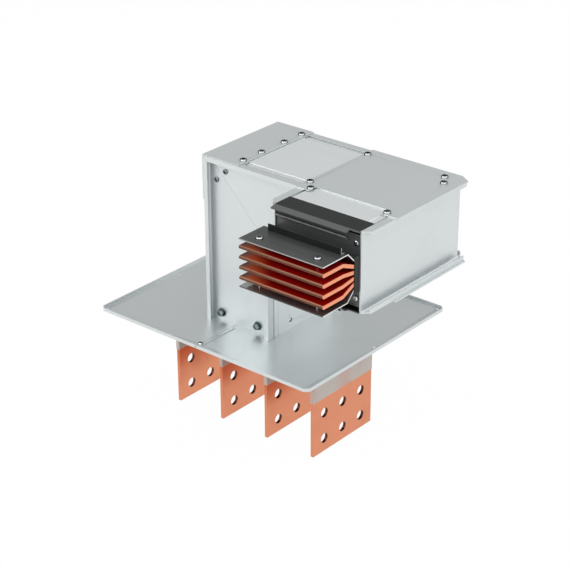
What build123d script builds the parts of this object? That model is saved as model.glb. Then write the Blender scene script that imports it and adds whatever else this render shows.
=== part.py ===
from build123d import *
import os

# A sandwich busway elbow with a flange plate. The run comes in along Y as a fanned joint
# stub, turns edgewise inside a horizontal box, turns flatwise down a vertical duct, and ends
# below the flange plate in four drilled copper palms. Origin: centre of the plate's underside.

# Flange plate, and the seam between its two halves
plate_length = 462.0
plate_width = 377.0
plate_sheet = 2.0
rim_height = 6.0
rim_corner_cut = 7.0
fixing_edge_x = 10.0
fixing_edge_y = 8.0
fixing_hole = 5.0
fixings_along = 4
seam_x = -8.5
seam_gap = 0.6
seam_strip_width = 13.0
seam_strip_sheet = 1.2
seam_screw_edge = 12.5
seam_washer = 12.0

# Casing section, shared by the duct, the horizontal run and the stub
casing_depth = 137.0
lip = 12.0
lip_return = 8.0
sheet = 2.0
bend_radius = 4.0
groove_width = 3.5
groove_depth = 3.6
tread_width = 9.5
tread_depth = 1.0
panel_hem = 8.5
fit = 0.3

# Where the runs lie
duct_x = 4.0
run_z = 232.0
stub_x = 236.0
mouth_y = -172.0
lip_cutback = 13.0

# Copper bars inside the casing
copper = 6.0
run_bar_width = 160.0
stub_widening = 4.0
side_sheet = 1.0
side_sheet_half = 31.0
side_sheet_front_y = -185.0
stack_pitch = 8.0
inner_bend = 10.0
bar_corner_cut = 20.0
film = 1.4

# Palms below the flange plate
palm_pitch = 102.0
palm_end = -200.0
palm_hole = 18.0
palm_hole_pitch = 50.0
palm_hole_inset = 25.0
link_top = 6.0
link_bend = 9.0
outer_link_drop = 20.0
inner_link_drop = 45.0
sleeve_end = -96.0
sleeve_wall = 0.6
post = 24.0
post_x = 110.0
post_y = 45.0

# Fanned end of the stub
blade_start_y = -140.0
blade_root_y = -178.0
blade_bend_y = -211.0
blade_tip_y = -259.0
blade_bend = 9.0
blade_pitch = 17.3
blade_bevel = 2.0
end_plate = 2.0
end_plate_tip = 40.0
end_plate_root = 23.0
end_plate_bend_y = -200.0
end_plate_root_y = -183.0
end_plate_back_y = -112.0
fan_screw_spacing = 113.0
fan_screw_y = -240.0
stop_height = 11.0
stop_foot = 8.0
stop_y = -209.0
stop_width = 142.0
stop_x = 241.0
pad_width = 120.0
pad_back_y = -118.0
pad_front_y = -158.0

# Mouth of the stub
bracket_sheet = 2.0
bracket_depth = 36.0
bracket_leg = 12.0
nose_run = 11.0
nose_drop = 3.0
nose_notch = 18.0
closer_sheet = 2.0
closer_recess = 3.0
closer_top = 60.0
closer_lip_run = 7.0
closer_lip_low = 46.0
closer_lip_high = 53.0
closer_notch = 24.0
mouth_screw_in = 8.0
mouth_screw_level = 46.0
mouth_screw_length = 7.0

# Cap, liner and box covers
liner_sheet = 1.0
liner_reach = 2.0
cap_sheet = 1.5
cap_right_x = 12.0
cap_leg_drop = 76.5
cover_past_left = 2.0
cover_past_right = 4.0
cover_past_front = 1.0
cover_corner = 20.0
cover_corner_depth = 13.0
ear_length = 17.0
ear_width = 27.0

# Screws, bolts and rivets
large_head = 12.0
large_height = 3.6
small_head = 9.0
small_height = 2.6
pan_shank = 4.0
pan_length = 9.0
fan_screw_length = 3.5
recess_width = 1.1
hex_head = 11.0
hex_height = 6.0
hex_washer = 16.0
hex_washer_sheet = 1.2
hex_shank = 6.0
hex_length = 11.0
nut_across = 10.0
nut_height = 4.0
rivet_head = 8.0
rivet_height = 1.4
rivet_shank = 4.0
shank_clearance = 0.4
duct_bolt_x = 40.0
duct_bolt_z = 16.5
cap_screw_x = 4.0
cap_screw_inner_y = 29.0
wall_screw_offsets = [(38.5, 22.0), (19.0, 40.5)]
cover_screw_in = 7.0
ear_screw_in = 9.0
outer_pair_in = 23.5
outer_screw_y = 53.5
foot_rivet_y = 39.0
foot_rivet_z = 20.0

# Inner supports
angle_sheet = 3.0
angle_leg = 24.0
angle_width = 20.0
exit_block_half = 24.0
exit_block_height = 22.0
carrier_length = 22.0
carrier_width = 120.0
carrier_wall = 5.0
run_carrier_x = 108.0
stub_carrier_y = -98.0
duct_carrier_z = 92.0
gusset_right = 45.5
gusset_drop = 50.5

# Sizes that follow from those above
fixing_span_x = plate_length - 2 * fixing_edge_x
fixing_span_y = plate_width - 2 * fixing_edge_y
seam_screw_y = plate_width / 2 - seam_screw_edge
stub_bar_width = run_bar_width + stub_widening
casing_width = stub_bar_width + 2 * (side_sheet + sheet + lip)
half_casing = casing_width / 2
half_depth = casing_depth / 2
web_outer = half_casing - lip
web_inner = web_outer - sheet
riser = web_inner - groove_width
tread_middle = riser - tread_width / 2
panel_depth = sheet + tread_depth + groove_depth + panel_hem
duct_left = duct_x - half_depth
duct_right = duct_x + half_depth
run_top = run_z + half_depth
run_bottom = run_z - half_depth
wall_screws = [(duct_left + right, run_top - down) for right, down in wall_screw_offsets]
stub_left = stub_x - web_outer
stub_right = stub_x + web_outer
cap_level = half_depth + liner_sheet
cover_left_x = stub_x - half_casing - cover_past_left
cover_right_x = stub_x + half_casing + cover_past_right
cover_front_y = -web_outer - cover_past_front
bracket_back_y = mouth_y + bracket_depth
stack_half = 1.5 * stack_pitch + copper / 2
stack_outside = stack_half + 2 * fit + film
slot_half = stack_outside + fit
BARS = range(4)
SIDES = (-1, 1)
BOTTOM = (Align.CENTER, Align.CENTER, Align.MIN)
TOP = (Align.CENTER, Align.CENTER, Align.MAX)


def offset_of(bar, pitch):
    """Distance of a bar from the middle of the stack, the first bar on top."""
    return (1.5 - bar) * pitch


def block(x0, x1, y0, y1, z0, z1):
    """Block between two corners."""
    return Pos((x0 + x1) / 2, (y0 + y1) / 2, (z0 + z1) / 2) * Box(abs(x1 - x0), abs(y1 - y0), abs(z1 - z0))


def prism(points, axis, at, length):
    """Solid of a flat outline. The outline is (y, z), (x, z) or (x, y) for axis X, Y or Z."""
    place = {"x": lambda a, b: (at, a, b), "y": lambda a, b: (a, at, b), "z": lambda a, b: (a, b, at)}[axis]
    along = {"x": (length, 0, 0), "y": (0, length, 0), "z": (0, 0, length)}[axis]
    face = make_face(Polyline(*[place(a, b) for a, b in points], close=True))
    return extrude(face, abs(length), dir=along)


def rectangle(a0, a1, b0, b1):
    """Corners of a rectangle as an outline."""
    return [(a0, b0), (a1, b0), (a1, b1), (a0, b1)]


def folded(points, thickness):
    """Outline of a folded sheet with mitred corners, from its middle line."""
    left, right = [], []
    for i, (a, b) in enumerate(points):
        here = Vector(a, b)
        back = here - Vector(*points[i - 1]) if i > 0 else Vector(*points[1]) - here
        ahead = Vector(*points[i + 1]) - here if i + 1 < len(points) else back
        first, second = back.normalized(), ahead.normalized()
        normal = Vector(-first.Y - second.Y, first.X + second.X).normalized()
        reach = thickness / 2 / normal.dot(Vector(-first.Y, first.X))
        left.append((a + normal.X * reach, b + normal.Y * reach))
        right.append((a - normal.X * reach, b - normal.Y * reach))
    return left + right[::-1]


def bent_bar(points, radii, width, thickness, across):
    """Flat bar that follows a line with rounded bends."""
    path = FilletPolyline(*points, radius=radii)
    start = Plane(origin=path @ 0, x_dir=across, z_dir=path % 0)
    return sweep(start * Rectangle(width, thickness), path=path)


def hole(x, y, z, diameter, axis="z", depth=40.0):
    """Round cutter centred on a point."""
    turn = {"x": Rot(0, 90, 0), "y": Rot(90, 0, 0), "z": Rot(0, 0, 0)}[axis]
    return Pos(x, y, z) * turn * Cylinder(diameter / 2, depth)


def put(shape, places):
    """Copies of a shape that points along +Z, at (x, y, z, direction) places."""
    return [Plane(origin=(x, y, z), z_dir=aim).location * shape for x, y, z, aim in places]


def fixing_places():
    """Plan positions of the holes round the rim of the flange plate."""
    step = fixing_span_x / (fixings_along - 1)
    rows = [(step * i - fixing_span_x / 2, side * fixing_span_y / 2)
            for i in range(fixings_along) for side in SIDES]
    return rows + [(side * fixing_span_x / 2, 0.0) for side in SIDES]


def plate_outline(inset):
    """Plan outline of the flange plate, with its corners cut off."""
    x, y, cut = plate_length / 2 - inset, plate_width / 2 - inset, rim_corner_cut
    return [(cut - x, -y), (x - cut, -y), (x, cut - y), (x, y - cut),
            (x - cut, y), (cut - x, y), (-x, y - cut), (-x, cut - y)]


def flange_plate(side):
    """One half of the flange plate: a sheet with a folded rim, open at the centre seam."""
    tray = prism(plate_outline(0), "z", 0, rim_height)
    tray -= prism(plate_outline(plate_sheet), "z", plate_sheet, rim_height)
    tray -= block(duct_x - slot_half, duct_x + slot_half, -web_inner, web_inner, -rim_height, rim_height)
    for x, y in fixing_places():
        tray -= hole(x, y, 0, fixing_hole)
    for end in SIDES:
        tray -= hole(seam_x, end * seam_screw_y, 0, pan_shank + shank_clearance)
    for x, y in foot_screw_places():
        tray -= hole(x, y, 0, pan_shank + shank_clearance)
    near = seam_x + side * seam_gap / 2
    return tray & block(near, side * plate_length, -plate_width, plate_width, -rim_height, 2 * rim_height)


def seam_strips():
    """Strips over the seam of the flange plate, before and behind the duct."""
    start, end = half_casing + fit, plate_width / 2 - plate_sheet - fit
    strips = []
    for side in SIDES:
        strip = block(seam_x - seam_strip_width / 2, seam_x + seam_strip_width / 2,
                      side * start, side * end, plate_sheet, plate_sheet + seam_strip_sheet)
        strips.append(strip - hole(seam_x, side * seam_screw_y, 0, pan_shank + shank_clearance))
    return strips


def rail_outline(inset, end_x, past):
    """Side view of an L-shaped rail, up the duct and along the horizontal run."""
    left, right = duct_left + inset, duct_right - inset
    top, low = run_top - inset, run_bottom + inset
    foot = plate_sheet - past
    return [(left, foot), (left, top), (end_x + past, top), (end_x + past, low), (right, low), (right, foot)]


def bend_pocket(pocket, plane_value, axis):
    """Pocket with its edges on the web rounded, so that the rail's inner bends have a radius."""
    at = {"x": lambda e: e.center().X, "y": lambda e: e.center().Y}[axis]
    edges = [e for e in pocket.edges() if abs(at(e) - plane_value) < 0.01 and e.length > 3 * lip]
    return fillet(edges, bend_radius)


def elbow_rail(side, end_x):
    """L-shaped channel rail: a web whose lips turn outwards and then back along its edges."""
    past = 2 * lip
    rail = prism(rail_outline(0, end_x, 0), "y", side * web_inner, side * (sheet + lip))
    pocket = prism(rail_outline(sheet, end_x, past), "y", side * web_outer, side * (lip - sheet))
    rail -= bend_pocket(pocket, side * web_outer, "y")
    rail -= prism(rail_outline(lip_return, end_x, past), "y", side * (half_casing - 2 * sheet), side * lip)
    for x in (-duct_bolt_x, duct_bolt_x):
        rail -= hole(x, side * web_outer, duct_bolt_z, hex_shank + shank_clearance, "y", lip)
    for x, z in wall_screws:
        rail -= hole(x, side * web_outer, z, pan_shank + shank_clearance, "y", lip)
    return rail


def stub_rail(side, back_y):
    """Straight channel rail of the stub. Its lips stop short of the mouth."""
    past = 2 * lip

    def outline(inset, reach):
        return rectangle(mouth_y - reach, back_y + reach, run_bottom + inset, run_top - inset)

    rail = prism(outline(0, 0), "x", stub_x + side * web_inner, side * (sheet + lip))
    pocket = prism(outline(sheet, past), "x", stub_x + side * web_outer, side * (lip - sheet))
    rail -= bend_pocket(pocket, stub_x + side * web_outer, "x")
    rail -= prism(outline(lip_return, past), "x", stub_x + side * (half_casing - 2 * sheet), side * lip)
    near, far = stub_x + side * web_outer, stub_x + side * (half_casing + sheet)
    low, high = run_bottom - sheet, run_top + sheet
    cut = lip_cutback
    slant = [(near, mouth_y - cut), (far, mouth_y - cut), (far, mouth_y + cut), (near, mouth_y + cut - lip)]
    return rail - prism(slant, "z", low, high - low)


def corner_half(run_side):
    """Half space on one side of the upright plane through the corners of the box."""
    reach = 4 * casing_width
    gap = fit / 2
    shift = -gap if run_side else gap
    line = [(stub_x - reach + shift, -reach), (stub_x + reach + shift, reach)]
    far = (stub_x - reach + shift, reach) if run_side else (stub_x + reach + shift, -reach)
    return prism(line + [far], "z", -casing_depth, 2 * run_z + casing_depth)


def mitre_half(run_side):
    """Half space on one side of the slanting plane where the duct's rails meet the run's."""
    reach = 4 * casing_width
    shift = fit / 2 if run_side else -fit / 2
    x0, x1 = duct_left - reach + shift, duct_right + reach + shift
    z0, z1 = run_bottom - reach + shift, run_top + reach + shift
    line = [(x0, z1), (x1, z0)]
    far = (x1, z1) if run_side else (x0, z0)
    return prism(line + [far], "y", -casing_width, 2 * casing_width)


def duct_rail(side):
    """Rail up the front or the back of the duct. It ends in a slanting mitre."""
    return elbow_rail(side, stub_left) & mitre_half(False)


def run_front_rail():
    """Rail along the front of the run, from the slanting mitre to the mitre at the stub."""
    web = block(duct_left, stub_left, -web_outer, -web_inner, 0, 2 * run_z)
    return elbow_rail(-1, stub_left) & mitre_half(True) & (corner_half(True) + web)


def run_back_rail():
    """Rail along the back of the run. It goes on behind the stub."""
    return elbow_rail(1, stub_right - sheet) & mitre_half(True)


def stub_left_rail():
    """Short rail on the inner side of the stub."""
    web = block(stub_left, stub_left + sheet, -half_casing, -web_inner, 0, 2 * run_z)
    return stub_rail(-1, -web_inner) & (corner_half(False) + web)


def stub_right_rail():
    """Long rail on the outer side of the stub. It closes the end of the box."""
    return stub_rail(1, web_outer)


def panel_section(sign):
    """Outline of a closure panel as (across, outwards): hem, groove, tread and flat."""
    high = half_depth - sheet / 2
    tread = high - tread_depth
    low = tread - groove_depth
    edge = web_inner - fit - sheet / 2
    step, inner = riser - sheet / 2, riser - tread_width - sheet / 2
    one = [(edge, low - panel_hem), (edge, low), (step, low), (step, tread), (inner, tread), (inner, high)]
    line = [(-u, w) for u, w in one] + [(u, w) for u, w in one[::-1]]
    return [(u, sign * w) for u, w in folded(line, sheet)]


def duct_panel(side):
    """Closure panel on the left or right side of the duct."""
    points = [(duct_x + w, u) for u, w in panel_section(side)]
    top = run_bottom + sheet if side > 0 else run_top - panel_depth - fit
    panel = prism(points, "z", plate_sheet, top - plate_sheet)
    for y in (-foot_rivet_y, foot_rivet_y):
        panel -= hole(duct_x + side * half_depth, y, foot_rivet_z, rivet_shank, "x", lip)
    return panel


def run_panel(sign):
    """Closure panel above or below the horizontal run. It ends in a mitre in the box."""
    points = [(u, run_z + w) for u, w in panel_section(sign)]
    start = duct_left if sign > 0 else duct_right + fit
    panel = prism(points, "x", start, stub_right - sheet - fit - start) & corner_half(True)
    places = cover_screw_places() + (cap_screw_places() if sign > 0 else [])
    for x, y in places:
        panel -= hole(x, y, run_z + sign * half_depth, pan_shank + shank_clearance, depth=2 * lip)
    return panel


def stub_panel(sign):
    """Closure panel above or below the stub. It ends in a mitre in the box."""
    points = [(stub_x + u, run_z + w) for u, w in panel_section(sign)]
    start = bracket_back_y + fit
    panel = prism(points, "y", start, web_inner - fit - start) & corner_half(False)
    for x, y in cover_screw_places():
        panel -= hole(x, y, run_z + sign * half_depth, pan_shank + shank_clearance, depth=2 * lip)
    return panel


def mouth_bracket(sign):
    """Folded bracket between the rails at the mouth, with a drooping nose cut short at one end."""
    level = half_depth - bracket_sheet / 2
    back = bracket_back_y - bracket_sheet / 2
    line = [(back, level - bracket_leg), (back, level), (mouth_y, level),
            (mouth_y - nose_run, level - nose_drop)]
    points = [(y, run_z + sign * w) for y, w in folded(line, bracket_sheet)]
    half = web_inner - fit
    bracket = prism(points, "x", stub_x - half, 2 * half)
    notch_z = run_z + sign * half_depth
    notch = block(stub_x + half - nose_notch, stub_x + half + lip, mouth_y - 2 * nose_run, mouth_y - sheet,
                  notch_z - 2 * nose_drop, notch_z + 2 * nose_drop)
    return bracket - notch


def mouth_closer(sign):
    """Dark plate between an outer plate of the fan and a bracket, with a lip that leans forward."""
    half = stub_bar_width / 2 - fit
    low = end_plate_root + end_plate / 2 + fit
    back = mouth_y + closer_recess + closer_sheet
    front = back - closer_sheet
    section = [(y, run_z + sign * w) for y, w in rectangle(front, back, low, closer_top)]
    plate = prism(section, "x", stub_x - half, 2 * half)
    middle = front + closer_sheet / 2
    line = [(middle, closer_lip_low - closer_sheet), (middle, closer_lip_low),
            (middle - closer_lip_run, closer_lip_high)]
    outline = [(y, run_z + sign * w) for y, w in folded(line, closer_sheet)]
    plate += prism(outline, "x", stub_x - half, 2 * half - closer_notch)
    for x, y, z, _ in mouth_screw_places(sign):
        plate -= hole(x, y, z, pan_shank + shank_clearance, "y")
    return plate


def mouth_screw_places(sign):
    """Place of the screw in a mouth closer, at the end that its lip leaves free."""
    reach = stub_bar_width / 2 - mouth_screw_in
    return [(stub_x + reach, mouth_y + closer_recess, run_z + sign * mouth_screw_level, (0, -1, 0))]


def side_sheets():
    """Insulating sheets between the edges of the bars and the webs of the stub."""
    near, far = stub_bar_width / 2, stub_bar_width / 2 + side_sheet
    z0, z1 = run_z - side_sheet_half, run_z + side_sheet_half
    return [block(stub_x + side * near, stub_x + side * far, side_sheet_front_y, blade_start_y, z0, z1)
            for side in SIDES]


def cap_line(level):
    """Middle line of a sheet bent over the outer corner, as (x, z)."""
    left, high = duct_x - level, run_z + level
    return [(left, run_top - cap_leg_drop), (left, high), (cap_right_x, high)]


def cap_sheet_part(level, thickness, reach):
    """Bent sheet over the outer corner of the box: flat on top, with a leg down the left side."""
    line = cap_line(level + thickness / 2)
    line[2] = (line[2][0] + reach, line[2][1])
    part = prism(folded(line, thickness), "y", -half_casing, casing_width)
    for x, y in cap_screw_places():
        part -= hole(x, y, run_top, pan_shank + shank_clearance)
    return part


def box_cover(sign):
    """Flat cover over the corner of the box, with two ears that reach over the stub's rails."""
    left, right, front, back = cover_left_x, cover_right_x, cover_front_y, half_casing
    tip, cut = front - ear_length, cover_corner
    outline = [(left, tip), (left + ear_width, tip), (left + ear_width, front), (right - ear_width, front),
               (right - ear_width, tip), (right, tip), (right, back - cover_corner_depth),
               (right - cut, back), (left + sheet, back), (left, back - sheet)]
    cover = prism(outline, "z", run_z + sign * half_depth, sign * sheet)
    for x, y in cover_screw_places():
        cover -= hole(x, y, run_top if sign > 0 else run_bottom, pan_shank + shank_clearance)
    return cover


def cap_screw_places():
    """Plan positions of the screws in the cap."""
    return [(cap_screw_x, y) for y in (-tread_middle, -cap_screw_inner_y, cap_screw_inner_y, tread_middle)]


def cover_screw_places():
    """Plan positions of the screws in a box cover, all in the treads of the closure panels."""
    x0, x1 = cover_left_x + cover_screw_in, stub_x + tread_middle
    ear_y = cover_front_y - ear_screw_in
    return [(x0, tread_middle), (x0, -tread_middle), (stub_x - tread_middle, ear_y), (x1, ear_y),
            (stub_x + web_outer - outer_pair_in, tread_middle), (x1, outer_screw_y)]


def foot_screw_places():
    """Plan positions of the screws that hold the inner angles on the flange plate."""
    return [(sx * duct_bolt_x, sy * (web_inner - angle_leg / 2)) for sx in SIDES for sy in SIDES]


def pan_screw(head, height, length=pan_length):
    """Domed screw along +Z with its seat at the origin and a cross recess."""
    dome = chamfer(Cylinder(head / 2, height, align=BOTTOM).edges().sort_by(Axis.Z)[-1], height / 2)
    slot = Box(head / 2, recess_width, height)
    dome -= Pos(0, 0, height) * slot + Pos(0, 0, height) * Rot(0, 0, 90) * slot
    return dome + Cylinder(pan_shank / 2, length, align=TOP)


def hex_bolt():
    """Hex bolt with a washer along +Z, its seat at the origin."""
    hexagon = RegularPolygon(hex_head / 2, 6, major_radius=False)
    head = Pos(0, 0, hex_washer_sheet) * extrude(hexagon, hex_height)
    shank = Cylinder(hex_shank / 2, hex_length, align=TOP)
    return Cylinder(hex_washer / 2, hex_washer_sheet, align=BOTTOM) + head + shank


def rivet():
    """Dome rivet along +Z with its seat at the origin and its tail in the panel."""
    head = chamfer(Cylinder(rivet_head / 2, rivet_height, align=BOTTOM).edges().sort_by(Axis.Z)[-1],
                   rivet_height / 2)
    return head + Cylinder(rivet_shank / 2, sheet + angle_sheet, align=TOP)


def nut(bore):
    """Hex nut along +Z with its seat at the origin."""
    body = extrude(RegularPolygon(nut_across / 2, 6, major_radius=False), nut_height)
    return body - Cylinder(bore / 2 + shank_clearance / 2, 4 * nut_height)


def bar_path(offset, foot_z):
    """Corner points and bend radius of a stack layer: up the duct, then along the run."""
    x, z = duct_x - offset, run_z + offset
    radius = inner_bend + copper / 2 + offset + 1.5 * stack_pitch
    return [(x, 0, foot_z), (x, 0, z), (run_carrier_x, 0, z)], radius


def layer(offset, thickness, foot_z, end_y):
    """One layer of the stack: duct leg, flatwise bend and the L-shaped plate of the edgewise turn."""
    points, radius = bar_path(offset, foot_z)
    leg = bent_bar(points, radius, run_bar_width, thickness, (0, 1, 0))
    half, wide, cut = run_bar_width / 2, stub_bar_width / 2, bar_corner_cut
    outline = [(run_carrier_x, -half), (stub_x - wide, -half), (stub_x - wide, end_y), (stub_x + wide, end_y),
               (stub_x + wide, half - cut), (stub_x + wide - cut, half), (run_carrier_x, half)]
    return leg + prism(outline, "z", run_z + offset - thickness / 2, thickness)


def bar(number):
    """Copper bar of the elbow, from the plate to the root of the fan."""
    return layer(offset_of(number, stack_pitch), copper, link_top, blade_start_y)


def stack_films():
    """Insulating sheets between the bars and on both sides of the stack."""
    outer = stack_half + fit + film / 2
    offsets = [outer, stack_pitch, 0.0, -stack_pitch, -outer]
    return [layer(offset, film, link_top, mouth_y) for offset in offsets]


def blade(number):
    """Fan blade: a bar end that joggles away from its neighbours."""
    inside = run_z + offset_of(number, stack_pitch)
    outside = run_z + offset_of(number, blade_pitch)
    points = [(stub_x, blade_start_y, inside), (stub_x, blade_root_y, inside),
              (stub_x, blade_bend_y, outside), (stub_x, blade_tip_y, outside)]
    part = bent_bar(points, blade_bend, stub_bar_width, copper, (1, 0, 0))
    tip = part.edges().filter_by(Axis.X).sort_by(Axis.Y)[:2]
    return chamfer(tip, blade_bevel)


def end_plate_part(sign):
    """Outer plate of the fan, bent in at its root and held at the mouth."""
    line = [(blade_tip_y, end_plate_tip), (end_plate_bend_y, end_plate_tip),
            (end_plate_root_y, end_plate_root), (end_plate_back_y, end_plate_root)]
    points = [(y, run_z + sign * w) for y, w in folded(line, end_plate)]
    part = prism(points, "x", stub_x - stub_bar_width / 2, stub_bar_width)
    for x, y, z, _ in fan_screw_places(sign):
        part -= hole(x, y, z, pan_shank + shank_clearance)
    return part


def fan_screw_places(sign):
    """Places of the screws in an outer plate of the fan."""
    level = run_z + sign * (end_plate_tip + end_plate / 2)
    return [(stub_x + side * fan_screw_spacing / 2, fan_screw_y, level, (0, 0, sign)) for side in SIDES]


def stop_angle(sign):
    """Angle that stands across an outer plate of the fan."""
    base = run_z + sign * (end_plate_tip + end_plate / 2)
    x0, x1 = stop_x - stop_width / 2, stop_x + stop_width / 2
    foot = block(x0, x1, stop_y, stop_y + stop_foot, base, base + sign * end_plate)
    return foot + block(x0, x1, stop_y, stop_y + end_plate, base, base + sign * stop_height)


def end_pads():
    """Insulating pads between the stack and the outer plates of the fan."""
    near, far = stack_outside, end_plate_root - end_plate / 2 - fit
    return [block(stub_x - pad_width / 2, stub_x + pad_width / 2, pad_front_y, pad_back_y,
                  run_z + sign * near, run_z + sign * far) for sign in SIDES]


def palm_x(number):
    """Middle of a palm across the flange plate."""
    return (number - 1.5) * palm_pitch


def palm_drop(number):
    """Depth below the plate at which a link runs sideways."""
    return outer_link_drop if number in (0, 3) else inner_link_drop


def palm(number):
    """Copper link below the plate: it runs sideways, turns down and ends in a drilled palm."""
    x, target, drop = duct_x - offset_of(number, stack_pitch), palm_x(number), -palm_drop(number)
    points = [(x, 0, link_top), (x, 0, drop), (target, 0, drop), (target, 0, palm_end)]
    part = bent_bar(points, link_bend, run_bar_width, copper, (0, 1, 0))
    for row in range(2):
        for column in (-1, 0, 1):
            z = palm_end + palm_hole_inset + row * palm_hole_pitch
            part -= hole(target, column * palm_hole_pitch, z, palm_hole, "x")
    return part


def sleeve(number):
    """Insulating sleeve round the upper part of a palm."""
    top = -palm_drop(number) - link_bend - copper / 2
    x, half, thick = palm_x(number), run_bar_width / 2, copper / 2
    wall = sleeve_wall
    outside = block(x - thick - wall, x + thick + wall, -half - wall, half + wall, sleeve_end, top)
    return outside - block(x - thick, x + thick, -half, half, sleeve_end - wall, top + wall)


def posts():
    """Insulating posts between the plate and the links that run out furthest."""
    top = -outer_link_drop + copper / 2
    return [Pos(sx * post_x, sy * post_y, top) * Cylinder(post / 2, -top, align=BOTTOM)
            for sx in SIDES for sy in SIDES]


def exit_block():
    """Insulating block round the stack where it leaves through the plate."""
    half_y = web_inner - fit
    outside = block(duct_x - exit_block_half, duct_x + exit_block_half, -half_y, half_y,
                    plate_sheet, plate_sheet + exit_block_height)
    return outside - block(duct_x - slot_half, duct_x + slot_half, -run_bar_width / 2 - fit,
                           run_bar_width / 2 + fit, 0, run_z)


def carrier(length_axis, centre, sign):
    """Hollow insulating spacer between the stack and a closure panel."""
    near, far = stack_outside, half_depth - sheet - fit
    half, wide, wall = carrier_length / 2, carrier_width / 2, carrier_wall
    middle = (near + far) / 2
    shell = Box(2 * half, 2 * wide, far - near)
    shell -= Box(2 * half + wall, 2 * wide - 2 * wall, far - near - 2 * wall)
    turn = {"x": Rot(0, 0, 0), "y": Rot(0, 0, 90), "z": Rot(0, 90, 0)}[length_axis]
    away = {"x": (centre, 0, run_z + sign * middle), "y": (stub_x, centre, run_z + sign * middle),
            "z": (duct_x + sign * middle, 0, centre)}[length_axis]
    return Pos(*away) * turn * shell


def carriers():
    """Spacers in the run, the stub and the duct."""
    places = [("x", run_carrier_x), ("y", stub_carrier_y), ("z", duct_carrier_z)]
    return [carrier(axis, centre, sign) for axis, centre in places for sign in SIDES]


def corner_angles():
    """Angles in the corners of the duct that tie its webs to the plate."""
    angles = []
    for sx in SIDES:
        for sy in SIDES:
            x = sx * duct_bolt_x
            x0, x1 = x - angle_width / 2, x + angle_width / 2
            y0 = sy * web_inner
            upright = block(x0, x1, y0, y0 - sy * angle_sheet, plate_sheet, plate_sheet + angle_leg)
            foot = block(x0, x1, y0, y0 - sy * angle_leg, plate_sheet, plate_sheet + angle_sheet)
            angle = upright + foot
            angle -= hole(x, y0, duct_bolt_z, hex_shank + shank_clearance, "y", lip)
            angles.append(angle - hole(x, sy * (web_inner - angle_leg / 2), 0, pan_shank + shank_clearance))
    return angles


def panel_feet():
    """Angles that tie the duct's closure panels to the plate."""
    feet = []
    for sx in SIDES:
        for sy in SIDES:
            face = duct_x + sx * (half_depth - sheet)
            y0, y1 = sy * foot_rivet_y - angle_width / 2, sy * foot_rivet_y + angle_width / 2
            upright = block(face, face - sx * angle_sheet, y0, y1, plate_sheet, plate_sheet + angle_leg)
            foot = block(face, face - sx * angle_leg / 2, y0, y1, plate_sheet, plate_sheet + angle_sheet)
            feet.append(upright + foot - hole(face, sy * foot_rivet_y, foot_rivet_z, rivet_shank, "x", lip))
    return feet


def foot_rivet_places():
    """Places of the rivets low on the duct's closure panels."""
    return [(duct_x + sx * half_depth, sy * foot_rivet_y, foot_rivet_z, (sx, 0, 0))
            for sx in SIDES for sy in SIDES]


def gussets():
    """Plates behind the webs that the screws high on the duct go into."""
    x0, x1 = duct_left + panel_depth + fit, duct_left + gusset_right
    z0, z1 = run_top - gusset_drop, run_top - panel_depth - fit
    plates = []
    for side in SIDES:
        plate = block(x0, x1, side * web_inner, side * (web_inner - angle_sheet), z0, z1)
        for x, z in wall_screws:
            plate -= hole(x, side * web_inner, z, pan_shank + shank_clearance, "y", lip)
        plates.append(plate)
    return plates


def duct_bolt_places():
    """Places of the hex bolts at the foot of the duct."""
    return [(sx * duct_bolt_x, sy * web_outer, duct_bolt_z, (0, sy, 0)) for sx in SIDES for sy in SIDES]


def duct_nut_places():
    """Places of the nuts on the duct's hex bolts."""
    return [(x, sy * (web_inner - angle_sheet), z, (0, -sy, 0)) for x, _, z, (_, sy, _) in duct_bolt_places()]


def foot_screws():
    """Screws through the plate into the inner angles, with their nuts."""
    screws = put(pan_screw(small_head, small_height), [(x, y, 0, (0, 0, -1)) for x, y in foot_screw_places()])
    nuts = put(nut(pan_shank), [(x, y, plate_sheet + angle_sheet, (0, 0, 1)) for x, y in foot_screw_places()])
    return screws + nuts


def seam_screws():
    """Screws through the seam strips, with washers and nuts below the plate."""
    top = plate_sheet + seam_strip_sheet
    above = [(seam_x, side * seam_screw_y, top, (0, 0, 1)) for side in SIDES]
    screws = put(pan_screw(small_head, small_height), above)
    washer = Cylinder(seam_washer / 2, seam_strip_sheet, align=BOTTOM)
    washer -= Cylinder(pan_shank / 2 + shank_clearance / 2, 4 * seam_strip_sheet)
    below = [(seam_x, side * seam_screw_y, 0, (0, 0, -1)) for side in SIDES]
    lower = [(x, y, -seam_strip_sheet, aim) for x, y, _, aim in below]
    return screws + put(washer, below) + put(nut(pan_shank), lower)


def save(name, shape):
    """Write one node, either a solid or a list of separate solids."""
    if isinstance(shape, list):
        shape = Compound(children=[solid for part in shape for solid in part.solids()])
    export_step(shape, f"parts/{name}.step")


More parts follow.
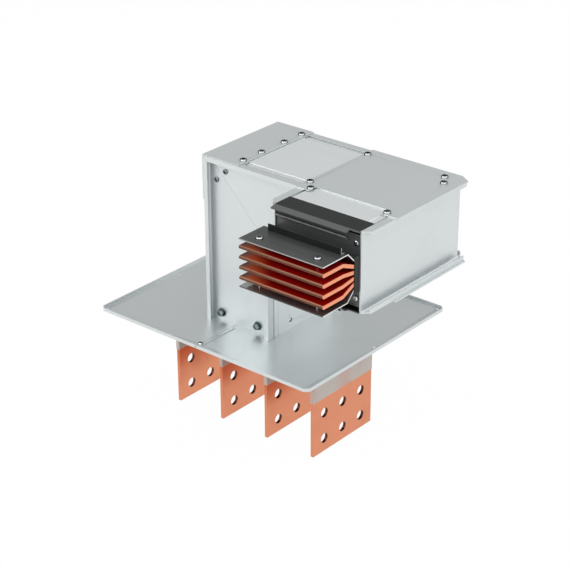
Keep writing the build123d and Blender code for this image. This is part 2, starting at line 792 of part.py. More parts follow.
def main():
    os.makedirs("parts", exist_ok=True)
    save("plate_left", flange_plate(-1))
    save("plate_right", flange_plate(1))
    save("seam_strips", seam_strips())
    save("seam_screws", seam_screws())
    save("duct_front_rail", duct_rail(-1))
    save("duct_back_rail", duct_rail(1))
    save("run_front_rail", run_front_rail())
    save("run_back_rail", run_back_rail())
    save("stub_left_rail", stub_left_rail())
    save("stub_right_rail", stub_right_rail())
    save("duct_left_panel", duct_panel(-1))
    save("duct_right_panel", duct_panel(1))
    save("run_top_panel", run_panel(1))
    save("run_bottom_panel", run_panel(-1))
    save("stub_top_panel", stub_panel(1))
    save("stub_bottom_panel", stub_panel(-1))
    save("corner_liner", cap_sheet_part(half_depth, liner_sheet, liner_reach))
    save("corner_cap", cap_sheet_part(cap_level, cap_sheet, 0.0))
    save("top_cover", box_cover(1))
    save("bottom_cover", box_cover(-1))
    save("mouth_bracket_top", mouth_bracket(1))
    save("mouth_bracket_bottom", mouth_bracket(-1))
    save("mouth_closer_top", mouth_closer(1))
    save("mouth_closer_bottom", mouth_closer(-1))
    for number in BARS:
        save(f"bar_{number + 1}", bar(number))
        save(f"blade_{number + 1}", blade(number))
        save(f"palm_{number + 1}", palm(number))
    save("sleeves", [sleeve(number) for number in BARS])
    save("stack_films", stack_films())
    save("side_sheets", side_sheets())
    save("end_plate_top", end_plate_part(1))
    save("end_plate_bottom", end_plate_part(-1))
    save("stop_angle_top", stop_angle(1))
    save("stop_angle_bottom", stop_angle(-1))
    save("end_pads", end_pads())
    large = pan_screw(large_head, large_height)
    short = pan_screw(large_head, large_height, fan_screw_length)
    save("fan_screws", put(short, fan_screw_places(1) + fan_screw_places(-1)))
    save("posts", posts())
    save("exit_block", exit_block())
    save("carriers", carriers())
    save("corner_angles", corner_angles())
    save("panel_feet", panel_feet())
    save("gussets", gussets())
    save("duct_bolts", put(hex_bolt(), duct_bolt_places()))
    save("duct_nuts", put(nut(hex_shank), duct_nut_places()))
    save("foot_screws", foot_screws())
    cap_top = run_z + cap_level + cap_sheet
    save("cap_screws", put(large, [(x, y, cap_top, (0, 0, 1)) for x, y in cap_screw_places()]))
    for name, sign in (("top_cover_screws", 1), ("bottom_cover_screws", -1)):
        seat = run_z + sign * (half_depth + sheet)
        save(name, put(large, [(x, y, seat, (0, 0, sign)) for x, y in cover_screw_places()]))
    wall = [(x, side * web_outer, z, (0, side, 0)) for x, z in wall_screws for side in SIDES]
    save("wall_screws", put(pan_screw(small_head, small_height), wall))
    mouth = mouth_screw_places(1) + mouth_screw_places(-1)
    save("mouth_screws", put(pan_screw(small_head, small_height, mouth_screw_length), mouth))
    save("panel_rivets", put(rivet(), foot_rivet_places()))


if __name__ == "__main__":
    main()
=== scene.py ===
"""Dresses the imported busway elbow: finishes, fasteners, a pale studio floor and the camera."""
import math

import bmesh
import bpy
from bpy.props import FloatProperty, FloatVectorProperty, IntProperty, PointerProperty
from mathutils import Matrix, Vector


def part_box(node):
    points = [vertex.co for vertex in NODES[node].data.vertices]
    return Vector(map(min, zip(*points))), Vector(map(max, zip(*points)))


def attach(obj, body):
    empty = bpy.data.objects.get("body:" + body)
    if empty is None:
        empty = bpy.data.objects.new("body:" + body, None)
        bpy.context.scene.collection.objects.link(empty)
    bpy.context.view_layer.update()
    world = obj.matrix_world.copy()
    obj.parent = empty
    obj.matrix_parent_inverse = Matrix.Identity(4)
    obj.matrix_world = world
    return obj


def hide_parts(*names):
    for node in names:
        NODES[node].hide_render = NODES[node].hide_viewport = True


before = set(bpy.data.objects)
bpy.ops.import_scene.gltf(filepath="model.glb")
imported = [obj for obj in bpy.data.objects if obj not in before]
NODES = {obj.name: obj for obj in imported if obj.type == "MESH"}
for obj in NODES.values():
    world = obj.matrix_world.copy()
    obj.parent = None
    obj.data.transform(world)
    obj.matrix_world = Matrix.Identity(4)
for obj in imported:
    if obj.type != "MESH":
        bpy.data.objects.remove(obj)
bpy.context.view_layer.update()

bl_info = {
    "name": "Busway Elbow Dressing",
    "version": (1, 0, 0),
    "blender": (4, 5, 0),
    "location": "View3D > Sidebar > Elbow",
    "description": "Finishes and fasteners for a flanged busway elbow",
    "category": "Object",
}

MM = 0.001
WHITE = (1, 1, 1, 1)

FLANGE_NODES = ("plate_left", "plate_right", "seam_strips")
CASING_NODES = ("duct_front_rail", "duct_back_rail", "run_front_rail", "run_back_rail",
                "stub_left_rail", "stub_right_rail")
PROFILE_NODES = ("duct_left_panel", "duct_right_panel", "run_top_panel", "run_bottom_panel",
                 "stub_top_panel", "stub_bottom_panel")
CAP_NODES = ("corner_liner", "corner_cap", "top_cover", "bottom_cover")
BLACK_NODES = ("mouth_bracket_top", "mouth_bracket_bottom", "mouth_closer_top", "mouth_closer_bottom",
               "end_plate_top", "end_plate_bottom", "stop_angle_top", "stop_angle_bottom",
               "side_sheets")
BAR_NODES = tuple(f"bar_{n}" for n in range(1, 5))
BLADE_NODES = tuple(f"blade_{n}" for n in range(1, 5))
PALM_NODES = tuple(f"palm_{n}" for n in range(1, 5))
SLEEVE_NODES = ("sleeves",)
INSULATOR_NODES = ("end_pads", "posts", "exit_block", "carriers")
STEEL_NODES = ("corner_angles", "panel_feet", "gussets", "duct_nuts", "foot_screws")

# Where the heads of the screws point: the names are those of aim_of
LARGE_NODES = {"cap_screws": "up", "top_cover_screws": "up", "bottom_cover_screws": "down",
               "fan_screws": "from_run"}
SMALL_NODES = {"wall_screws": "front_or_back", "mouth_screws": "front"}

# Colour, colour at glancing views (painted shade that darkens the heads' rims) and roughness of the
# fasteners' platings, and the nodes whose plating isn't the bright one
ZINC = {"Bright Zinc": ((0.80, 0.83, 0.83), (0.05, 0.06, 0.06), 0.15),
        "White Zinc": ((0.90, 0.92, 0.92), (0.16, 0.18, 0.18), 0.2),
        "Dark Zinc": ((0.30, 0.36, 0.365), (0.05, 0.065, 0.07), 0.2)}
ZINC_OF = {"fan_screws": "White Zinc", "wall_screws": "Dark Zinc", "mouth_screws": "White Zinc"}

# Colours of the black plates' edges (painted highlights, and a darker line at the lower fan plate's
# front), of the painted shadow line under the cap's edge, of the painted reflection on the bracket's
# nose, of the painted highlight on the closers' lip and of the sleeves
EDGE_HIGHLIGHT = (0.72, 0.73, 0.72)
DIM_EDGE_HIGHLIGHT = (0.30, 0.30, 0.29)
DARK_EDGE = (0.06, 0.06, 0.06)
CAP_SHADOW_LINE = (0.10, 0.11, 0.11)
BRACKET_NOSE_SHEEN = (0.11, 0.118, 0.112)
CLOSER_LIP_HIGHLIGHT = (0.17, 0.175, 0.17)
SLEEVE_CLEAR = (0.47, 0.43, 0.39, 1)
SLEEVE_RED = (0.52, 0.30, 0.25, 1)

# Angle from which edges are rounded, degrees below which neighbours look smooth, steps of round forms
EDGE_ANGLE = math.radians(35)
SMOOTH_ANGLE, HEX_SMOOTH_ANGLE = 40, 30
ROUND_STEPS, FINE_STEPS, SHANK_STEPS = 28, 36, 20

# Range of noise that shows as handling marks, and of facing in which a plating turns dark with painted
# shade
HANDLED_LOW, HANDLED_HIGH = 0.42, 0.78
GLANCE_LOW, GLANCE_HIGH = 0.10, 0.44

# Place, target and size of each lamp
LAMPS = {"key": ((-1.2, -2.3, 1.6), (0.05, 0.0, 0.1), 2.2),
         "back": ((1.4, 2.05, 1.85), (0.05, 0.0, 0.1), 3.5),
         "side": ((2.9, -0.9, 0.45), (0.1, 0.0, 0.1), 2.4),
         "top": ((1.2, -1.45, 2.4), (0.05, 0.0, 0.1), 1.6)}

# Camera as fitted to the photograph
CAMERA_PLACE = (1.74005, -2.04131, 1.36195)
CAMERA_TURN = (1.115237, 0.004730, 0.695502)
SENSOR_WIDTH = 36.0
FAR_CLIP = 60.0

# Floor's distance below the palms, its colour and its share of plain white; heights between which
# the surroundings darken and their lowest brightness
FLOOR_GAP = 0.2 * MM
FLOOR_COLOUR = (0.92, 0.92, 0.92, 1)
FLOOR_GLOW = 0.985
HORIZON, ZENITH = 0.05, 0.9
SKY_LEAST = 0.1


class CasingSettings(bpy.types.PropertyGroup):
    sheet_colour: FloatVectorProperty(
        name="Sheet Colour", description="Colour of the casing's sheets", subtype="COLOR",
        size=3, default=(0.66, 0.695, 0.70), min=0, max=1)
    profile_colour: FloatVectorProperty(
        name="Profile Colour", description="Colour of the closure panels", subtype="COLOR",
        size=3, default=(0.80, 0.83, 0.835), min=0, max=1)
    sheet_roughness: FloatProperty(
        name="Sheet Roughness", description="How dull the sheets are", subtype="FACTOR",
        default=0.38, min=0, max=1)
    edge_radius: FloatProperty(
        name="Edge Radius", description="Rounding of the sheets' cut edges", unit="LENGTH",
        default=0.25 * MM, min=0, max=0.002)


class CopperSettings(bpy.types.PropertyGroup):
    colour: FloatVectorProperty(
        name="Copper Colour", description="Colour of the bare copper", subtype="COLOR",
        size=3, default=(0.72, 0.275, 0.15), min=0, max=1)
    blade_colour: FloatVectorProperty(
        name="Blade Colour", description="Colour of the blades' cut right ends", subtype="COLOR",
        size=3, default=(0.86, 0.33, 0.19), min=0, max=1)
    # Painted shade and red inter-reflection on palms 1 to 3 just below their sleeves
    bounce_shade_colour: FloatVectorProperty(
        name="Tint Colour", description="Colour of the palms just below their sleeves", subtype="COLOR",
        size=3, default=(0.62, 0.17, 0.07), min=0, max=1)
    # Painted shade on the walls of the palms' holes
    bore_shade_colour: FloatVectorProperty(
        name="Bore Colour", description="Colour of the walls of the palms' holes", subtype="COLOR",
        size=3, default=(0.10, 0.035, 0.02), min=0, max=1)
    # Painted deep red shade and inter-reflection on the flats between the blades
    gap_shade_colour: FloatVectorProperty(
        name="Gap Colour", description="Colour of the copper between the blades", subtype="COLOR",
        size=3, default=(0.36, 0.005, 0.003), min=0, max=1)
    # Painted orange reflection of light on the blades' flats near their left ends
    reflected_glow_colour: FloatVectorProperty(
        name="Reflected Glow Colour", description="Colour of the blades' flats near their left ends",
        subtype="COLOR", size=3, default=(0.56, 0.09, 0.02), min=0, max=1)
    # Painted shade at the blades' far left ends and blunt tips
    tip_shade_colour: FloatVectorProperty(
        name="Tip Colour", description="Colour of the blades' blunt tips", subtype="COLOR",
        size=3, default=(0.12, 0.055, 0.035), min=0, max=1)
    # Painted shade on the sloping edges at the blades' tips
    slope_shade_colour: FloatVectorProperty(
        name="Slope Colour", description="Colour of the sloping edges at the blades' tips",
        subtype="COLOR", size=3, default=(0.30, 0.14, 0.09), min=0, max=1)
    roughness: FloatProperty(
        name="Copper Roughness", description="How dull the copper is", subtype="FACTOR",
        default=0.36, min=0, max=1)


class FastenerSettings(bpy.types.PropertyGroup):
    large_radius: FloatProperty(
        name="Large Head Radius", description="Radius of the large screws' heads", unit="LENGTH",
        default=6 * MM)
    large_height: FloatProperty(
        name="Large Head Height", description="Height of the large screws' heads", unit="LENGTH",
        default=3.6 * MM)
    small_radius: FloatProperty(
        name="Small Head Radius", description="Radius of the small screws' heads", unit="LENGTH",
        default=4.5 * MM)
    small_height: FloatProperty(
        name="Small Head Height", description="Height of the small screws' heads", unit="LENGTH",
        default=2.6 * MM)
    hex_across: FloatProperty(
        name="Hex Width", description="Width of the bolt heads across their flats", unit="LENGTH",
        default=11 * MM)
    hex_height: FloatProperty(
        name="Hex Height", description="Height of the bolt heads above their washers", unit="LENGTH",
        default=6 * MM)
    washer_radius: FloatProperty(
        name="Washer Radius", description="Radius of the bolts' washers", unit="LENGTH", default=8 * MM)
    washer_height: FloatProperty(
        name="Washer Height", description="Thickness of the bolts' washers", unit="LENGTH",
        default=1.2 * MM)
    rivet_radius: FloatProperty(
        name="Rivet Radius", description="Radius of the rivets' heads", unit="LENGTH", default=4 * MM)
    rivet_height: FloatProperty(
        name="Rivet Height", description="Height of the rivets' heads", unit="LENGTH", default=1.4 * MM)
    turn_seed: IntProperty(
        name="Turn Seed", description="Seed of the turn at which each screw was left", default=7, min=0)


class StageSettings(bpy.types.PropertyGroup):
    floor_size: FloatProperty(
        name="Floor Size", description="Length of the floor's sides", unit="LENGTH", default=14.0)
    key_power: FloatProperty(
        name="Key Power", description="Power of the large lamp in front", unit="POWER", default=35.0)
    back_power: FloatProperty(
        name="Back Power", description="Power of the lamp behind on the right", unit="POWER",
        default=30.0)
    side_power: FloatProperty(
        name="Side Power", description="Power of the lamp on the right", unit="POWER", default=10.5)
    top_power: FloatProperty(
        name="Top Power", description="Power of the lamp above the camera", unit="POWER",
        default=9.0)
    sky_top: FloatProperty(
        name="Sky Top", description="Brightness of the surroundings overhead", subtype="FACTOR",
        default=0.56, min=0, max=2)
    sky_side: FloatProperty(
        name="Sky Side", description="Brightness of the surroundings at the horizon", subtype="FACTOR",
        default=0.80, min=0, max=2)
    sky_slope: FloatProperty(
        name="Sky Slope", description="How much brighter the surroundings are on the camera's side",
        subtype="FACTOR", default=0.1, min=0, max=1)
    lens: FloatProperty(
        name="Lens", description="Focal length of the camera", subtype="DISTANCE_CAMERA",
        default=109.66)


# Shader building

def link(tree, source, target):
    tree.links.new(source, target)


def new_group(name, inputs, outputs):
    """Empty shader node group with named float, vector or colour sockets."""
    tree = bpy.data.node_groups.new(name, "ShaderNodeTree")
    kinds = {"float": "NodeSocketFloat", "vector": "NodeSocketVector", "colour": "NodeSocketColor"}
    for label, kind, default in inputs:
        socket = tree.interface.new_socket(label, in_out="INPUT", socket_type=kinds[kind])
        socket.default_value = default
    for label, kind in outputs:
        tree.interface.new_socket(label, in_out="OUTPUT", socket_type=kinds[kind])
    return tree, tree.nodes.new("NodeGroupInput"), tree.nodes.new("NodeGroupOutput")


def math_node(tree, operation, first, second=None):
    node = tree.nodes.new("ShaderNodeMath")
    node.operation = operation
    for index, value in enumerate((first, second)):
        if value is None:
            continue
        if isinstance(value, (int, float)):
            node.inputs[index].default_value = value
        else:
            link(tree, value, node.inputs[index])
    return node.outputs[0]


def rolled_grain_group():
    """Fine parallel lines left by rolling or extruding, as a mask and a normal."""
    tree, inside, outside = new_group(
        "Rolled Grain",
        [("Stretch", "vector", (1.0, 1.0, 1.0)), ("Depth", "float", 0.02)],
        [("Mask", "float"), ("Normal", "vector")])
    place = tree.nodes.new("ShaderNodeTexCoord")
    scale = tree.nodes.new("ShaderNodeVectorMath")
    scale.operation = "MULTIPLY"
    link(tree, place.outputs["Object"], scale.inputs[0])
    link(tree, inside.outputs["Stretch"], scale.inputs[1])
    noise = tree.nodes.new("ShaderNodeTexNoise")
    noise.inputs["Scale"].default_value = 1.0
    noise.inputs["Detail"].default_value = 3.0
    noise.inputs["Roughness"].default_value = 0.6
    link(tree, scale.outputs[0], noise.inputs["Vector"])
    bump = tree.nodes.new("ShaderNodeBump")
    bump.inputs["Distance"].default_value = 0.1 * MM
    link(tree, inside.outputs["Depth"], bump.inputs["Strength"])
    link(tree, noise.outputs["Fac"], bump.inputs["Height"])
    link(tree, noise.outputs["Fac"], outside.inputs["Mask"])
    link(tree, bump.outputs["Normal"], outside.inputs["Normal"])
    return tree


def handling_group():
    """Broad soft marks of handling, as a mask that is mostly low."""
    tree, inside, outside = new_group("Handling Marks", [("Scale", "float", 9.0)], [("Mask", "float")])
    place = tree.nodes.new("ShaderNodeTexCoord")
    noise = tree.nodes.new("ShaderNodeTexNoise")
    noise.inputs["Detail"].default_value = 5.0
    noise.inputs["Roughness"].default_value = 0.62
    noise.inputs["Distortion"].default_value = 0.6
    link(tree, place.outputs["Object"], noise.inputs["Vector"])
    link(tree, inside.outputs["Scale"], noise.inputs["Scale"])
    ramp = tree.nodes.new("ShaderNodeMapRange")
    ramp.inputs["From Min"].default_value = HANDLED_LOW
    ramp.inputs["From Max"].default_value = HANDLED_HIGH
    ramp.interpolation_type = "SMOOTHSTEP"
    link(tree, noise.outputs["Fac"], ramp.inputs["Value"])
    link(tree, ramp.outputs["Result"], outside.inputs["Mask"])
    return tree


def mix_colour(tree, factor, first, second):
    """Mix of two colours; each may be a socket or a plain colour."""
    node = tree.nodes.new("ShaderNodeMix")
    node.data_type = "RGBA"
    link(tree, factor, node.inputs["Factor"])
    for socket, value in ((node.inputs[6], first), (node.inputs[7], second)):
        if isinstance(value, tuple):
            socket.default_value = value
        else:
            link(tree, value, socket)
    return node.outputs[2]


def shade(colour, factor):
    """A colour made lighter or darker, as RGBA."""
    return tuple(min(1.0, c * factor) for c in colour) + (1.0,)


def finish_material(name, colour, metallic, roughness, stretch=(30, 30, 30), grain=0.04, tone=0.03,
                    rough_spread=0.06, mark_scale=9.0, specular=0.5, mark_tone=0.97):
    """Metal or paint with a rolled grain, a little tone variation and duller handling marks."""
    material = bpy.data.materials.new(name)
    material.use_nodes = True
    tree = material.node_tree
    surface = tree.nodes["Principled BSDF"]
    surface.inputs["Metallic"].default_value = metallic
    surface.inputs["Specular IOR Level"].default_value = specular
    lines = tree.nodes.new("ShaderNodeGroup")
    lines.node_tree = bpy.data.node_groups["Rolled Grain"]
    lines.inputs["Stretch"].default_value = stretch
    lines.inputs["Depth"].default_value = grain
    marks = tree.nodes.new("ShaderNodeGroup")
    marks.node_tree = bpy.data.node_groups["Handling Marks"]
    marks.inputs["Scale"].default_value = mark_scale
    streaks = mix_colour(tree, lines.outputs["Mask"], shade(colour, 1 - tone), shade(colour, 1 + tone))
    marked = tree.nodes.new("ShaderNodeMix")
    marked.data_type = "RGBA"
    marked.blend_type = "MULTIPLY"
    marked.inputs[7].default_value = (mark_tone, mark_tone, mark_tone, 1)
    link(tree, marks.outputs["Mask"], marked.inputs["Factor"])
    link(tree, streaks, marked.inputs[6])
    link(tree, marked.outputs[2], surface.inputs["Base Color"])
    spread = tree.nodes.new("ShaderNodeMapRange")
    spread.inputs["To Min"].default_value = max(0.0, roughness - rough_spread / 2)
    spread.inputs["To Max"].default_value = roughness + rough_spread
    link(tree, marks.outputs["Mask"], spread.inputs["Value"])
    link(tree, spread.outputs["Result"], surface.inputs["Roughness"])
    link(tree, lines.outputs["Normal"], surface.inputs["Normal"])
    return material


def sleeve_material():
    """Pale, milky insulation that lets a little of the copper's colour through."""
    material = bpy.data.materials.new("Milky Sleeve")
    material.use_nodes = True
    tree = material.node_tree
    surface = tree.nodes["Principled BSDF"]
    marks = tree.nodes.new("ShaderNodeGroup")
    marks.node_tree = bpy.data.node_groups["Handling Marks"]
    marks.inputs["Scale"].default_value = 22.0
    colour = mix_colour(tree, marks.outputs["Mask"], SLEEVE_CLEAR, SLEEVE_RED)
    link(tree, colour, surface.inputs["Base Color"])
    surface.inputs["Roughness"].default_value = 0.28
    surface.inputs["Specular IOR Level"].default_value = 0.5
    return material


def zone(tree, limits, soft):
    """Mask that is 1 past each of the (axis, limit, sign) planes in object space, with a soft start."""
    place = tree.nodes.new("ShaderNodeTexCoord")
    parts = tree.nodes.new("ShaderNodeSeparateXYZ")
    link(tree, place.outputs["Object"], parts.inputs["Vector"])
    mask = 1.0
    for axis, limit, sign in limits:
        past = math_node(tree, "SUBTRACT", parts.outputs[axis], limit)
        scaled = math_node(tree, "MULTIPLY", past, sign / soft)
        scaled.node.use_clamp = True
        mask = math_node(tree, "MULTIPLY", scaled, mask)
    return mask


def recolour(material, mask, colour):
    """Mixes a colour over a material's own where a mask is 1."""
    tree = material.node_tree
    base = tree.nodes["Principled BSDF"].inputs["Base Color"]
    plain = base.links[0].from_socket
    link(tree, mix_colour(tree, mask, plain, tuple(colour) + (1.0,)), base)


def bare_copper(name, look):
    """Copper with the fine upright lines of its rolling."""
    return finish_material(name, look.colour, 1.0, look.roughness, stretch=(60, 60, 1500), grain=0.08,
                           tone=0.05, rough_spread=0.1, mark_scale=14, mark_tone=0.93)


def palm_material(node, look):
    """Copper with painted shade and red inter-reflection just below the sleeve, on all palms but the
    last, and painted shade inside the holes.
    """
    material = bare_copper("Copper of " + node, look)
    tree = material.node_tree
    low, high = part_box(node)
    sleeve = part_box("sleeves")[0].z
    fade, skin, margin = 45 * MM, 0.3 * MM, 6 * MM
    across = [vert.co.x for vert in NODES[node].data.vertices if vert.co.z < sleeve]
    if node != PALM_NODES[-1]:
        # Painted shade and red inter-reflection below the sleeve
        recolour(material, zone(tree, (("Z", sleeve - fade, 1.0),), fade), look.bounce_shade_colour)
    # Painted shade on the walls of the holes
    bores = (("X", min(across) + skin, 1.0), ("X", max(across) - skin, -1.0),
             ("Y", low.y + margin, 1.0), ("Y", high.y - margin, -1.0), ("Z", low.z + margin, 1.0))
    recolour(material, zone(tree, bores, skin), look.bore_shade_colour)
    return material


def blade_material(look):
    """Copper that is salmon at the blades' right ends, with painted deep red shade and inter-reflection
    on the flats between them, a painted orange reflection near their left ends and painted shade at
    their tips.
    """
    material = finish_material("Blade Copper", look.blade_colour[:], 0.3, look.roughness,
                               stretch=(60, 1500, 60), grain=0.06, tone=0.05, rough_spread=0.1,
                               mark_scale=14, mark_tone=0.93, specular=0.05)
    tree = material.node_tree
    low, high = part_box("blade_1")
    edge, slope, glow_reach = 0.6 * MM, 2.0 * MM, 55 * MM
    left_end, right_end = ("X", low.x + edge, 1.0), ("X", high.x - edge, -1.0)
    # Painted deep red shade and inter-reflection over the flats, leaving the cut ends their own salmon
    recolour(material, zone(tree, (left_end, right_end), edge), look.gap_shade_colour)
    # Painted orange reflection near the left ends; painted shade at the far left ends, the sloping tip
    # edges and the blunt tips
    for axis, limit, soft, colour in (("X", low.x + glow_reach, glow_reach / 2, look.reflected_glow_colour),
                                      ("X", low.x + glow_reach / 3, glow_reach / 4, look.tip_shade_colour),
                                      ("Y", low.y + slope + edge / 2, edge / 2, look.slope_shade_colour),
                                      ("Y", low.y + edge, edge / 2, look.tip_shade_colour)):
        recolour(material, zone(tree, (right_end, (axis, limit, -1.0)), soft), colour)
    return material


def paint_edge_band(material, limits, colour, depth):
    """Colours a thin band at the cut edges of a coated plate: a painted highlight where the colour is
    light, a darker line where it is dark.
    """
    tree = material.node_tree
    mask = 0.0
    for limit in limits:
        mask = math_node(tree, "MAXIMUM", zone(tree, (limit,), depth), mask)
    recolour(material, mask, colour)


def black_coat(name, tone, roughness, specular):
    """Dark coating of a given tone and gloss."""
    return finish_material(name, (tone, tone * 1.12, tone * 1.08), 0.0, roughness, grain=0.12, tone=0.1,
                           stretch=(700, 700, 700), rough_spread=0.08, mark_scale=16, specular=specular,
                           mark_tone=1.0)


def zinc_finish(name):
    """Zinc plated steel of a given brightness, with painted shade that darkens it at glancing views,
    shared by the fasteners.
    """
    known = bpy.data.materials.get(name)
    if known:
        return known
    colour, rim, roughness = ZINC[name]
    material = finish_material(name, colour, 1.0, roughness, stretch=(400, 400, 400), grain=0.03,
                               rough_spread=0.1, mark_scale=120, mark_tone=0.85)
    tree = material.node_tree
    facing = tree.nodes.new("ShaderNodeLayerWeight")
    glancing = tree.nodes.new("ShaderNodeMapRange")
    glancing.interpolation_type = "SMOOTHSTEP"
    glancing.inputs["From Min"].default_value = GLANCE_LOW
    glancing.inputs["From Max"].default_value = GLANCE_HIGH
    link(tree, facing.outputs["Facing"], glancing.inputs["Value"])
    # Painted shade at glancing views, darkening the heads' rims
    recolour(material, glancing.outputs["Result"], rim)
    return material


# Geometry building

def mesh_object(name, mesh):
    piece = bpy.data.objects.new(name, mesh)
    bpy.context.scene.collection.objects.link(piece)
    return piece


def lathe(profile, steps):
    """Closed mesh of a profile of (radius, height) points turned about Z. Radius 0 makes a pole."""
    shape = bmesh.new()
    rings = []
    for radius, height in profile:
        if radius <= 0:
            rings.append([shape.verts.new((0, 0, height))])
            continue
        ring = []
        for step in range(steps):
            angle = 2 * math.pi * step / steps
            ring.append(shape.verts.new((radius * math.cos(angle), radius * math.sin(angle), height)))
        rings.append(ring)
    for low, high in zip(rings, rings[1:]):
        for step in range(steps):
            after = (step + 1) % steps
            if len(low) == 1:
                shape.faces.new((low[0], high[after], high[step]))
            elif len(high) == 1:
                shape.faces.new((low[step], low[after], high[0]))
            else:
                shape.faces.new((low[step], low[after], high[after], high[step]))
    bmesh.ops.recalc_face_normals(shape, faces=shape.faces)
    return shape


def to_mesh(shape, name, smooth_below=SMOOTH_ANGLE):
    """Mesh of a bmesh, smooth where neighbouring faces meet at a small angle."""
    mesh = bpy.data.meshes.new(name)
    shape.to_mesh(mesh)
    shape.free()
    mesh.shade_smooth()
    mesh.set_sharp_from_angle(angle=math.radians(smooth_below))
    return mesh


def cut_with(piece, cutter, operation, overlapping=False):
    """Mesh of a boolean of one object on another, which may overlap itself. Both are removed."""
    modifier = piece.modifiers.new("cut", "BOOLEAN")
    modifier.operation = operation
    modifier.solver = "EXACT"
    modifier.use_self = overlapping
    modifier.object = cutter
    result = evaluated_mesh(piece, piece.name)
    bpy.data.objects.remove(cutter)
    bpy.data.objects.remove(piece)
    return result


def evaluated_mesh(piece, name):
    """Plain mesh of an object with its modifiers applied."""
    graph = bpy.context.evaluated_depsgraph_get()
    mesh = bpy.data.meshes.new_from_object(piece.evaluated_get(graph))
    mesh.name = name
    return mesh


def pan_head_mesh(r, h):
    """Domed head with a cross recess, on a short shank below its seat."""
    shank, depth, brim = 0.42 * r, -3 * h, 0.42
    profile = [(0, depth), (shank, depth), (shank, 0), (0.97 * r, 0), (r, 0.1 * h),
               (0.99 * r, brim * h)]
    for step in range(1, 6):
        angle = math.radians(15 + 15 * step)
        out = 0.3 + 0.69 * math.cos(angle - math.radians(15))
        profile.append((r * out, h * (brim + (1 - brim) * math.sin(angle))))
    profile.append((0, h))
    head = mesh_object("pan_head", to_mesh(lathe(profile, ROUND_STEPS), "pan_head_form"))
    cross = bmesh.new()
    slot = (1.15 * r, 0.24 * r, 1.1 * h)
    for turn in (0, 90):
        made = bmesh.ops.create_cube(cross, size=1.0)["verts"]
        bmesh.ops.scale(cross, verts=made, vec=slot)
        bmesh.ops.rotate(cross, verts=made, cent=(0, 0, 0),
                         matrix=Matrix.Rotation(math.radians(turn), 3, "Z"))
        bmesh.ops.translate(cross, verts=made, vec=(0, 0, h))
    cutter = mesh_object("cross_form", to_mesh(cross, "cross_form"))
    mesh = cut_with(head, cutter, "DIFFERENCE", overlapping=True)
    mesh.shade_smooth()
    mesh.set_sharp_from_angle(angle=math.radians(SMOOTH_ANGLE))
    return mesh


def hex_bolt_mesh(sizes):
    """Hex head with rounded corners on a washer, with a shank below its seat."""
    across, height = sizes.hex_across, sizes.hex_height
    wide, thick = sizes.washer_radius, sizes.washer_height
    corner, shank = across / math.sqrt(3), 0.3 * across
    blank = lathe([(0, thick), (corner, thick), (corner, thick + height), (0, thick + height)], 6)
    blank_object = mesh_object("hex_form", to_mesh(blank, "hex_form"))
    crown = lathe([(0, 0), (1.02 * corner, 0), (1.02 * corner, thick + 0.72 * height),
                   (0.86 * corner, thick + 0.98 * height), (0.80 * corner, thick + height),
                   (0, thick + height)], FINE_STEPS)
    crown_object = mesh_object("crown_form", to_mesh(crown, "crown_form"))
    head = cut_with(blank_object, crown_object, "INTERSECT")
    whole = bmesh.new()
    whole.from_mesh(head)
    washer = lathe([(0, 0), (0.96 * wide, 0), (wide, 0.2 * thick), (wide, 0.8 * thick),
                    (0.96 * wide, 0.98 * thick), (0, 0.98 * thick)], FINE_STEPS)
    stem = lathe([(0, -2 * height), (shank, -2 * height), (shank, -0.02 * height), (0, -0.02 * height)],
                 SHANK_STEPS)
    for part in (washer, stem):
        part.to_mesh(head)
        part.free()
        whole.from_mesh(head)
    return to_mesh(whole, "hex_bolt", HEX_SMOOTH_ANGLE)


def rivet_mesh(sizes):
    """Dome rivet with the dimple that its drawn pin leaves."""
    r, h = sizes.rivet_radius, sizes.rivet_height
    shank, depth = 0.45 * r, -3 * h
    profile = [(0, depth), (shank, depth), (shank, 0), (r, 0), (r, 0.18 * h), (0.9 * r, 0.52 * h),
               (0.72 * r, 0.82 * h), (0.5 * r, 0.97 * h), (0.36 * r, h), (0.3 * r, 0.93 * h),
               (0.28 * r, 0.5 * h), (0, 0.45 * h)]
    return to_mesh(lathe(profile, ROUND_STEPS), "rivet")


def islands(node):
    """Lowest and highest corner of each separate solid of a CAD node."""
    shape = bmesh.new()
    shape.from_mesh(NODES[node].data)
    bmesh.ops.remove_doubles(shape, verts=shape.verts, dist=1e-6)
    seen, found = set(), []
    for start in shape.verts:
        if start in seen:
            continue
        seen.add(start)
        stack, points = [start], []
        while stack:
            vert = stack.pop()
            points.append(vert.co.copy())
            for edge in vert.link_edges:
                other = edge.other_vert(vert)
                if other not in seen:
                    seen.add(other)
                    stack.append(other)
        low = Vector([min(p[i] for p in points) for i in range(3)])
        high = Vector([max(p[i] for p in points) for i in range(3)])
        found.append((low, high))
    shape.free()
    return found


def aim_of(rule, middle):
    """Direction in which a fastener's head points."""
    fixed = {"up": (0, 0, 1), "down": (0, 0, -1), "front": (0, -1, 0)}
    if rule in fixed:
        return Vector(fixed[rule])
    if rule == "front_or_back":
        return Vector((0, 1 if middle.y > 0 else -1, 0))
    if rule == "left_or_right":
        return Vector((1 if middle.x > 0 else -1, 0, 0))
    corners = [*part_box("top_cover"), *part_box("bottom_cover")]
    run_middle = sum(corner.z for corner in corners) / len(corners)
    return Vector((0, 0, 1 if middle.z > run_middle else -1))


def seats(node, rule, head_height):
    """Seat and direction of each fastener of a CAD node, from the node's own solids."""
    places = []
    for low, high in islands(node):
        middle = (low + high) / 2
        aim = aim_of(rule, middle)
        axis = max(range(3), key=lambda i: abs(aim[i]))
        seat = middle.copy()
        seat[axis] = high[axis] - head_height if aim[axis] > 0 else low[axis] + head_height
        places.append((seat, aim))
    return places


